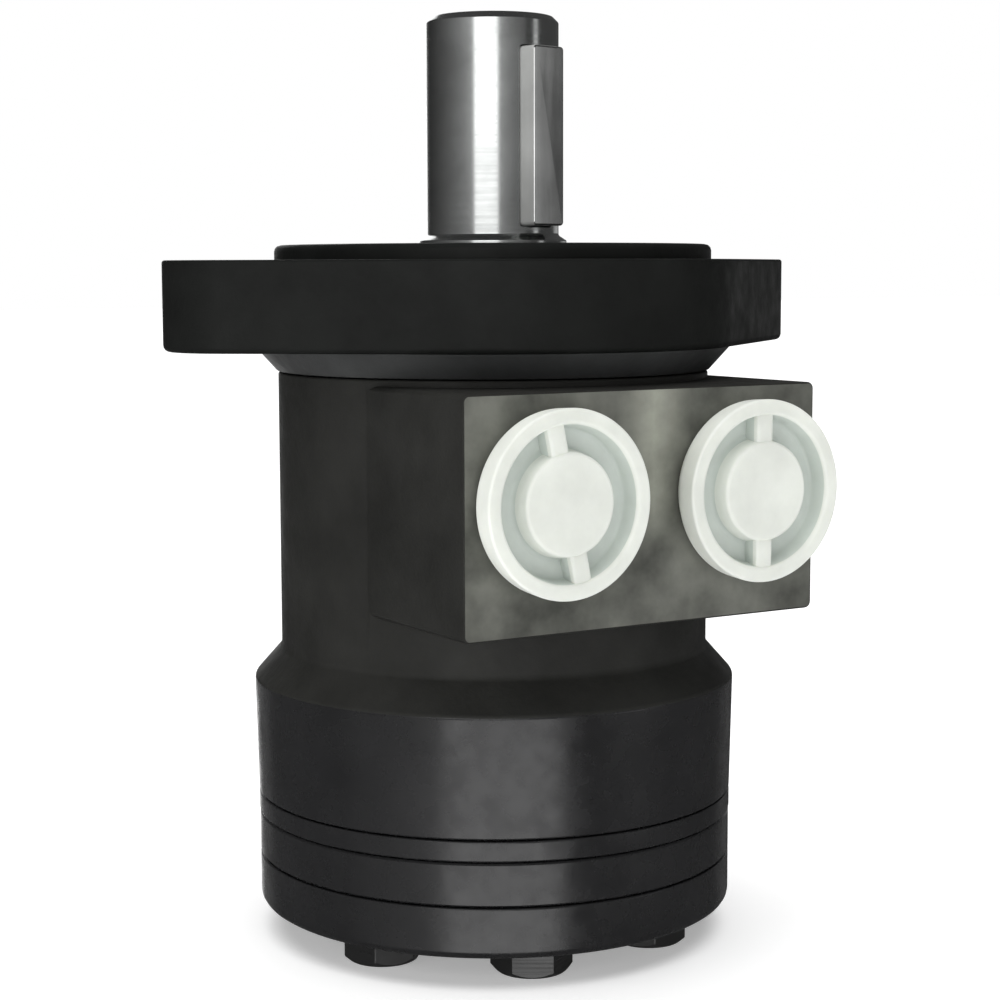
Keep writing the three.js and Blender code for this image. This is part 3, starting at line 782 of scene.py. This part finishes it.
def build_bolts():
    for i in range(LOBES):
        x = BOLT_CIRCLE_R * math.cos(lobe_angle(i))
        y = BOLT_CIRCLE_R * math.sin(lobe_angle(i))
        twist = math.radians(BOLT_TWIST[i])
        bolt = build_hex_head(f"cover_bolt_{i + 1}_steel", -BOLT_HEAD_H, -GAP, BOLT_HEAD_AF, twist)
        shank = lathe("cutter", [
            (0, -0.8), (6.1, -0.8), (6.1, -GAP), (4, -GAP),
            (4, BOLT_END - 0.8), (3.2, BOLT_END), (0, BOLT_END),
        ], segments=48)
        combine(bolt, [shank], "UNION")
        transformed(bolt, shift(x, y))
        finish_surface(bolt, angle=25, bevel=0.18)
        place(bolt, "motor_body", BOLT_BLACK, [f"cover_bolt_{i + 1}"])


def build_screws():
    for i, angle in enumerate(SCREW_ANGLES):
        seat = SCREW_SEAT + GAP
        screw = lathe(f"flange_screw_{i + 1}_steel", fillet([
            (0, SCREW_END), (3, SCREW_END, 0.6), (3, seat), (5, seat, 0.2), (5, seat + 6, 0.5), (0, seat + 6),
        ], steps=3), segments=72)
        combine(screw, [hex_cutter(5, seat + 3, seat + 7)])
        transformed(screw, shift(SCREW_CIRCLE_R * math.cos(angle), SCREW_CIRCLE_R * math.sin(angle)))
        finish_surface(screw, bevel=0.12)
        place(screw, "motor_body", BOLT_BLACK, [f"flange_screw_{i + 1}"])


def build_drain():
    plug = lathe("drain_plug_steel", fillet([
        (0, 0), (6.3, 0, 0.6), (6.3, 11.2), (8.8, 11.2, 0.3), (8.8, 15.2, 0.7), (0, 15.2),
    ], steps=3), segments=96)
    combine(plug, [hex_cutter(6, 8, 16)])
    transformed(plug, shift(0, 30.4, 58) @ turn("X", -90))
    finish_surface(plug, bevel=0.12)
    place(plug, "motor_body", BOLT_BLACK, ["drain_plug"])
    washer = lathe("drain_washer_copper", fillet([
        (6.9, 0, 0.2), (9.2, 0, 0.4), (9.2, 1.2, 0.4), (6.9, 1.2, 0.2),
    ], closed=True, steps=3), closed=True, segments=96)
    transformed(washer, shift(0, 40.1, 58) @ turn("X", -90))
    finish_surface(washer)
    place(washer, "motor_body", COPPER, ["drain_washer"])


def build_round(name, cad_node, profile, material):
    """A fine turned copy of a ring-shaped CAD node."""
    piece = lathe(name, fillet(profile, closed=True, steps=3), closed=True, segments=96)
    finish_surface(piece)
    return place(piece, "motor_body", material, [cad_node])


build_flange()
build_housing()
build_plug(-1, "port_plug_a_moulded", "port_plug_a", "plug_a")
build_plug(1, "port_plug_b_moulded", "port_plug_b", "plug_b")
build_shaft()
build_key()
build_cover()
build_ring()
build_spacer()
build_bolts()
build_screws()
build_drain()
build_round("dust_seal_rubber", "dust_seal", [
    (16.2, 117), (18.7, 117, 0.3), (18.7, 123.6, 0.4), (17.2, 123.6, 0.3), (16.4, 121, 0.8),
    (14.3, 124.2, 0.1), (14.3, 122.6, 0.2), (16.2, 119.4, 0.6),
], SEAL_RUBBER)

KEPT = {
    "shaft_seal": SEAL_RUBBER, "seal_backup_ring": BACKUP_WHITE, "flange_o_ring": SEAL_RUBBER,
    "housing_o_ring": SEAL_RUBBER, "ring_o_ring": SEAL_RUBBER, "cover_o_ring": SEAL_RUBBER,
    "thrust_race_lower": INNER_STEEL, "thrust_race_upper": INNER_STEEL,
    "thrust_needle_bearing": INNER_STEEL, "gerotor_star": INNER_STEEL,
    "drive_link": INNER_STEEL, "drive_spacer": INNER_STEEL,
}
for name, material in KEPT.items():
    give_materials(nodes[name], material)


# ---------------------------------------------------------------- stage, light and camera
CAMERA_AZIMUTH = -31.35
CAMERA_DISTANCE = 0.408
CAMERA_HEIGHT = 0.1206
CAMERA_PITCH = 6.215
CAMERA_ROLL = 0.18
CARD_RADIUS = 1.0
HALO_LEVEL = 0.25
HALO_REACH = 40.0
CAMERA_LENS = 76.93
CAMERA_SHIFT_X = 0.0066
FLOOR_GLOW = 0.32
FILL_LEVEL = 0.13
REFLECTED_LEVEL = 0.07


def polar_point(azimuth, distance, height):
    """Azimuth is measured from the ports' side, to the right as the motor stands."""
    a = math.radians(azimuth)
    return Vector((distance * math.sin(a), -distance * math.cos(a), height))


def build_floor():
    size = 6.0
    z = cad_low.z
    mesh = bpy.data.meshes.new("floor")
    corners = [(-size, -size, z), (size, -size, z), (size, size, z), (-size, size, z)]
    mesh.from_pydata(corners, [], [(0, 1, 2, 3)])
    floor = bpy.data.objects.new("floor", mesh)
    bpy.context.scene.collection.objects.link(floor)
    material, tree, shader = new_material("floor_pale")
    shader.inputs["Base Color"].default_value = (0.9, 0.9, 0.9, 1)
    shader.inputs["Roughness"].default_value = 0.9
    shader.inputs["Specular IOR Level"].default_value = 0.1
    shader.inputs["Emission Color"].default_value = (1, 1, 1, 1)
    shader.inputs["Emission Strength"].default_value = FLOOR_GLOW
    mesh.materials.append(material)
    floor.visible_glossy = False


def card(name, azimuths, heights, glow, strength):
    """A curved studio card that is seen only in reflections.

    azimuths are degrees from the camera, glow the brightness at each of them, heights in metres.
    """
    verts, levels = [], []
    for azimuth, level in zip(azimuths, glow):
        for height in heights:
            verts.append(polar_point(CAMERA_AZIMUTH + azimuth, CARD_RADIUS, height))
            levels.append(level)
    faces = [(2 * i, 2 * i + 1, 2 * i + 3, 2 * i + 2) for i in range(len(azimuths) - 1)]
    mesh = bpy.data.meshes.new(name)
    mesh.from_pydata(verts, [], faces)
    layer = mesh.attributes.new("glow", "FLOAT", "POINT")
    layer.data.foreach_set("value", levels)
    material = bpy.data.materials.new(name)
    material.use_nodes = True
    tree = material.node_tree
    tree.nodes.clear()
    attribute = tree.nodes.new("ShaderNodeAttribute")
    attribute.attribute_name = "glow"
    power = node(tree, "ShaderNodeMath", operation="MULTIPLY")
    power.inputs[1].default_value = strength
    emission = tree.nodes.new("ShaderNodeEmission")
    output = tree.nodes.new("ShaderNodeOutputMaterial")
    tree.links.new(attribute.outputs["Fac"], power.inputs[0])
    tree.links.new(power.outputs[0], emission.inputs["Strength"])
    tree.links.new(emission.outputs[0], output.inputs["Surface"])
    material.cycles.emission_sampling = "NONE"
    mesh.materials.append(material)
    sheet = bpy.data.objects.new(name, mesh)
    bpy.context.scene.collection.objects.link(sheet)
    sheet.visible_camera = False
    sheet.visible_diffuse = False
    sheet.visible_shadow = False
    sheet.visible_transmission = False


def haloed_card(name, first, start, stop, last, heights, strength):
    """A card that is even between start and stop, with a faint halo out to first and last."""
    azimuths = sorted({first, start, stop, last, *range(first, last, 4)})
    glow = []
    for azimuth in azimuths:
        away = max(start - azimuth, azimuth - stop)
        glow.append(1.0 if away <= 0 else HALO_LEVEL * math.exp(-away / HALO_REACH))
    card(name, azimuths, heights, glow, strength)


def softbox(name, azimuth, distance, height, width, tall, power, target_z=0.08):
    light = bpy.data.lights.new(name, "AREA")
    light.shape = "RECTANGLE"
    light.size = width
    light.size_y = tall
    light.energy = power
    lamp = bpy.data.objects.new(name, light)
    lamp.location = polar_point(CAMERA_AZIMUTH + azimuth, distance, height)
    aim = Vector((0, 0, target_z)) - lamp.location
    lamp.rotation_euler = aim.to_track_quat("-Z", "Y").to_euler()
    lamp.visible_camera = False
    lamp.visible_glossy = False
    bpy.context.scene.collection.objects.link(lamp)


def overhead_light(strength, spread):
    light = bpy.data.lights.new("overhead", "SUN")
    light.energy = strength
    light.angle = math.radians(spread)
    lamp = bpy.data.objects.new("overhead", light)
    lamp.location = (0, 0, 2)
    lamp.visible_glossy = False
    bpy.context.scene.collection.objects.link(lamp)


def build_world():
    """White behind the motor, dim grey as its fill light and dimmer still in what it reflects."""
    world = bpy.data.worlds.new("studio")
    world.use_nodes = True
    tree = world.node_tree
    background = tree.nodes["Background"]
    background.inputs["Color"].default_value = (1, 1, 1, 1)
    path = tree.nodes.new("ShaderNodeLightPath")
    reflected = node(tree, "ShaderNodeMapRange")
    reflected.inputs["To Min"].default_value = FILL_LEVEL
    reflected.inputs["To Max"].default_value = REFLECTED_LEVEL
    tree.links.new(path.outputs["Is Glossy Ray"], reflected.inputs["Value"])
    level = node(tree, "ShaderNodeMapRange")
    level.inputs["To Max"].default_value = 1.0
    tree.links.new(path.outputs["Is Camera Ray"], level.inputs["Value"])
    tree.links.new(reflected.outputs["Result"], level.inputs["To Min"])
    tree.links.new(level.outputs["Result"], background.inputs["Strength"])
    bpy.context.scene.world = world
    bpy.context.scene.view_settings.view_transform = "Standard"


def build_camera():
    camera = bpy.data.objects.new("camera", bpy.data.cameras.new("camera"))
    camera.data.lens = CAMERA_LENS
    camera.data.sensor_width = 36
    camera.data.shift_x = CAMERA_SHIFT_X
    camera.data.clip_start = 0.01
    camera.location = polar_point(CAMERA_AZIMUTH, CAMERA_DISTANCE, CAMERA_HEIGHT)
    level = Matrix.Rotation(math.radians(CAMERA_AZIMUTH), 4, "Z")
    pitch = Matrix.Rotation(math.radians(90 - CAMERA_PITCH), 4, "X")
    roll = Matrix.Rotation(math.radians(-CAMERA_ROLL), 4, "Z")
    camera.rotation_euler = (level @ pitch @ roll).to_euler()
    bpy.context.scene.collection.objects.link(camera)
    bpy.context.scene.camera = camera


build_floor()
haloed_card("card_high", -140, -30, 8, 60, (0.125, 0.75), 2.2)
haloed_card("card_low", -72, -22, 31, 33, (-0.65, -0.13), 2.45)
card("card_lug", (128, 138, 155, 165), (0.05, 0.16), (0, 1, 1, 0), 0.5)
card("card_ports", (50, 58, 74, 80), (-0.16, 0.09), (0, 1, 1, 0), 0.7)
card("card_key", (74, 78, 84.2, 85.8), (0.12, 0.32), (0, 1, 1, 0), 0.8)
card("card_rim_left", (-165, -155, -138, -128), (-0.37, -0.1), (0, 1, 1, 0), 0.18)
card("card_rim_right", (128, 138, 155, 165), (-0.37, -0.1), (0, 1, 1, 0), 0.12)
card("card_back", (172, 178, 202, 208), (-0.4, 0.75), (0, 1, 1, 0), 1.6)
softbox("key_front", 8, 0.9, 0.25, 0.7, 0.7, 2.0)
softbox("fill_left", -54, 0.9, 0.2, 0.7, 0.7, 2.6)
overhead_light(3.0, 75)
build_world()
build_camera()

bpy.context.view_layer.update()
